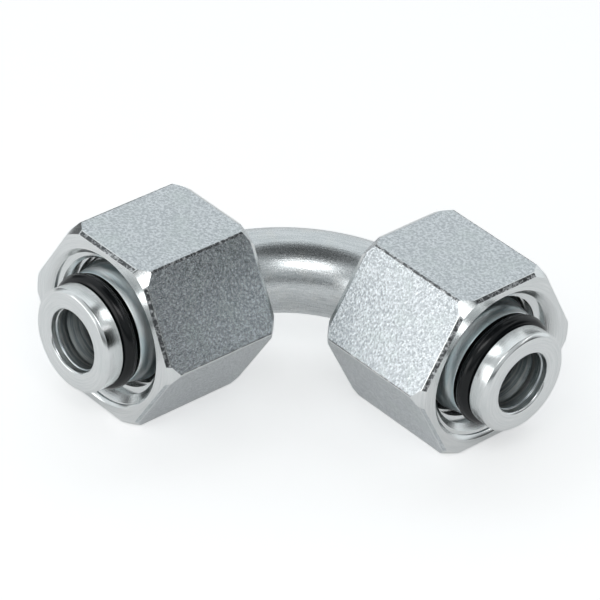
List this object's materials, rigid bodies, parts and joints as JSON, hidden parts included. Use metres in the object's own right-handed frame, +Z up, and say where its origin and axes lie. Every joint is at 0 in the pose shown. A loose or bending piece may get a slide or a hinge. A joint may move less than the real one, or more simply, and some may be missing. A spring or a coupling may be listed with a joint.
{
  "type": "hydraulic elbow fitting",
  "caption": "Right-angle steel tube elbow with an O-ring cone nose and a free-turning hexagonal union nut on each end, for hydraulic lines.",
  "frame": {"origin": "the middle of the part's footprint, on the surface it lies on", "axes": "+X points out of leg B, -Y out of leg A, and +Z up, with a flat of each nut on Z = 0"},
  "size_m": [0.05, 0.05, 0.022],
  "materials": {
    "tube_steel": "zinc plated, drawn and bent tube, glossy",
    "nipple_steel": "zinc plated, turned",
    "nut_steel": "zinc plated, grainy flats and turned ends",
    "seal_rubber": "smooth moulded nitrile"
  },
  "bodies": {
    "elbow": {"elbow_tube": "tube_steel", "nipple_a": "nipple_steel", "nipple_b": "nipple_steel", "oring_a": "seal_rubber", "oring_b": "seal_rubber"},
    "nut_a": {"swivel_nut_a": "nut_steel"},
    "nut_b": {"swivel_nut_b": "nut_steel"}
  },
  "joints": [
    {"name": "nut_a_spin", "type": "hinge", "parent": "elbow", "child": "nut_a", "pos_m": [-0.01233, -0.01213, 0.011], "axis": [0, -1, 0], "continuous": true},
    {"name": "nut_b_spin", "type": "hinge", "parent": "elbow", "child": "nut_b", "pos_m": [0.01213, 0.01233, 0.011], "axis": [1, 0, 0], "continuous": true}
  ]
}
